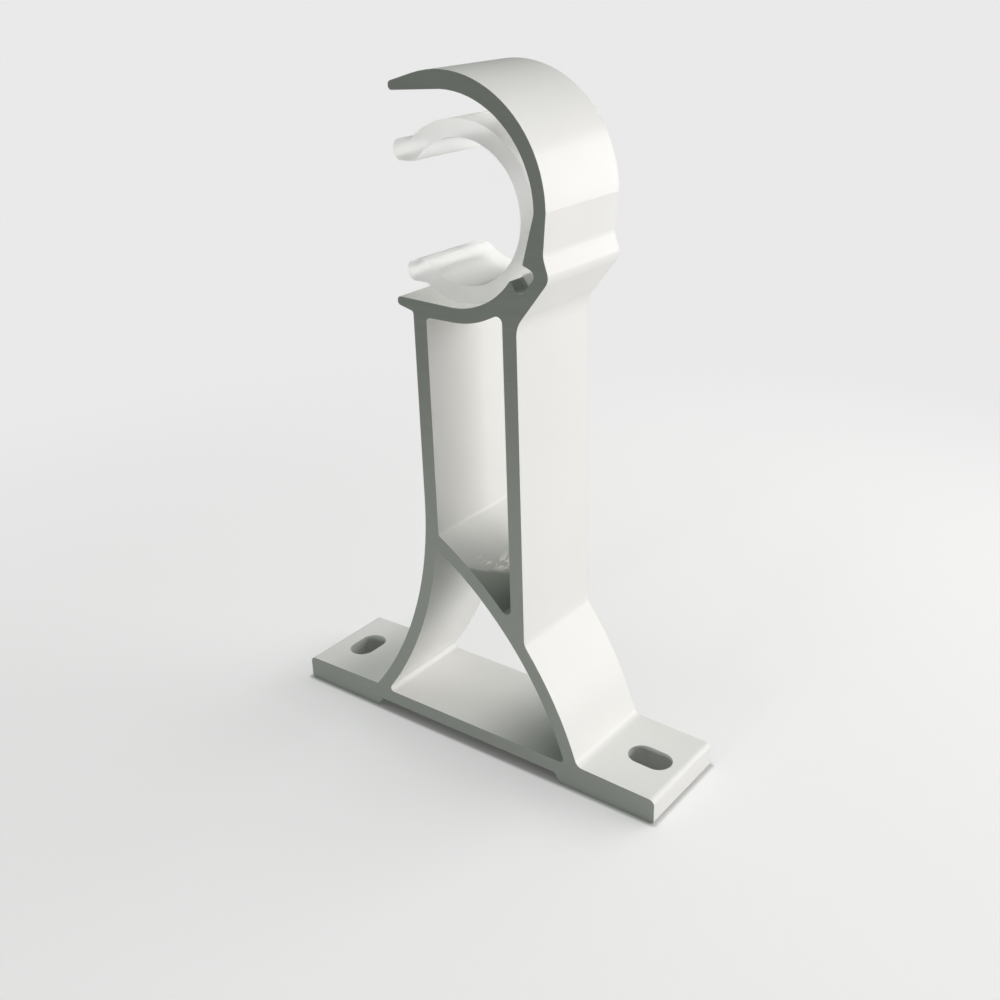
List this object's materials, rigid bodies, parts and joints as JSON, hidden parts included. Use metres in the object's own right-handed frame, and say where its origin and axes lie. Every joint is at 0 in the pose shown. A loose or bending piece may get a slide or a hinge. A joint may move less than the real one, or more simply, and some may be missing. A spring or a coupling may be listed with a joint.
{
  "type": "curtain rod bracket",
  "caption": "Curtain rod bracket cut from a coated aluminium profile, with an open hook and a plastic liner that hold the rod, and slotted feet.",
  "frame": {"origin": "middle of the base, on the plane that the feet stand on", "axes": "+X along the base, to the side away from the hook's open mouth; +Y along the rod and the profile's length; +Z from the base up to the hook"},
  "size_m": [0.09, 0.022, 0.1333],
  "materials": {
    "coated_metal": "satin",
    "liner_plastic": "translucent, satin"
  },
  "bodies": {
    "root": {"bracket_body": "coated_metal", "rod_liner": "liner_plastic"}
  },
  "joints": []
}
